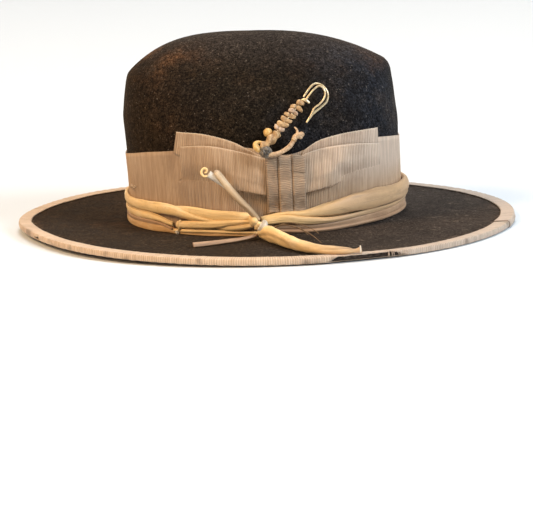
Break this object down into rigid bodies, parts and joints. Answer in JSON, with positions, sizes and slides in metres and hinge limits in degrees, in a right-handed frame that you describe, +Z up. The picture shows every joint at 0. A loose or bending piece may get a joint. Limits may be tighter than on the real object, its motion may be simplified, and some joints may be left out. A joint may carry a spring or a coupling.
{
  "type": "wide-brimmed felt hat",
  "caption": "Wide flat-brimmed felt hat with ribbon-bound edge, pleated bow, wound leather ties with loose ends, and a beaded wire hook charm.",
  "frame": {"origin": "under the middle of the brim, on the surface the brim rests on", "axes": "+Z up through the crown; -X towards the wearer's face, +X to the back of the head; -Y the wearer's left, where the bow is"},
  "size_m": [0.3784, 0.3444, 0.1484],
  "materials": {
    "felt": "worn fur felt, near black with brown burnish",
    "ribbon": "faded ribbed ribbon",
    "binding": "faded ribbed ribbon, frayed",
    "tie_leather": "soft cream leather",
    "strip_leather": "soft pinkish leather",
    "bead": "pale polished",
    "wire": "pale gilt",
    "thread": "dark waxed thread",
    "twig": "peeled twig",
    "sweatband_leather": "smooth, worn",
    "lining_satin": "faded satin",
    "reed_cord": "dark cord and ribbon"
  },
  "bodies": {
    "hat": {"felt_body": "felt", "brim_binding": "binding", "hat_band": "ribbon", "bow_center_wrap": "ribbon", "bow_flap_left": "ribbon", "bow_flap_right": "ribbon", "bow_loop_left": "ribbon", "bow_loop_right": "ribbon", "lining_side": "lining_satin", "lining_tip": "lining_satin", "sweatband": "sweatband_leather", "sweatband_reed": "reed_cord", "sweatband_seam_tab": "reed_cord", "tie_knot_left_lobe": "tie_leather", "tie_knot_right_lobe": "tie_leather", "tie_lower_roll": "tie_leather", "tie_middle_strand": "tie_leather", "tie_second_strand": "tie_leather", "tie_tail_upper": "tie_leather", "tie_tail_upper_second": "tie_leather", "tie_thin_strand": "tie_leather", "tie_upper_roll": "tie_leather"},
    "lower_tail": {"tie_tail_lower": "tie_leather"},
    "strip_tail": {"strip_tail": "strip_leather"},
    "charm": {"charm_base_winding": "bead", "charm_bead_1": "bead", "charm_bead_2": "bead", "charm_bead_3": "bead", "charm_bead_4": "bead", "charm_bead_5": "bead", "charm_bead_6": "bead", "charm_bead_7": "bead", "charm_core_wire": "wire", "charm_hook_inner": "wire", "charm_hook_outer": "wire", "charm_leather_loop": "tie_leather", "charm_round_bead": "bead", "charm_thread_knot": "thread", "charm_twig": "twig", "charm_twig_fork": "twig"}
  },
  "joints": [
    {"name": "lower_tail_lift", "type": "hinge", "parent": "hat", "child": "lower_tail", "pos_m": [-0.0005, -0.099, 0.01671], "axis": [-0.6198, -0.7848, 0], "range_deg": [0, 50]},
    {"name": "strip_tail_lift", "type": "hinge", "parent": "hat", "child": "strip_tail", "pos_m": [-0.008, -0.0986, 0.01321], "axis": [-0.2681, 0.9634, 0], "range_deg": [0, 45]},
    {"name": "charm_swivel", "type": "hinge", "parent": "hat", "child": "charm", "pos_m": [0.0008, -0.0972, 0.07291], "axis": [0, -1, 0], "range_deg": [-20, 15]}
  ]
}
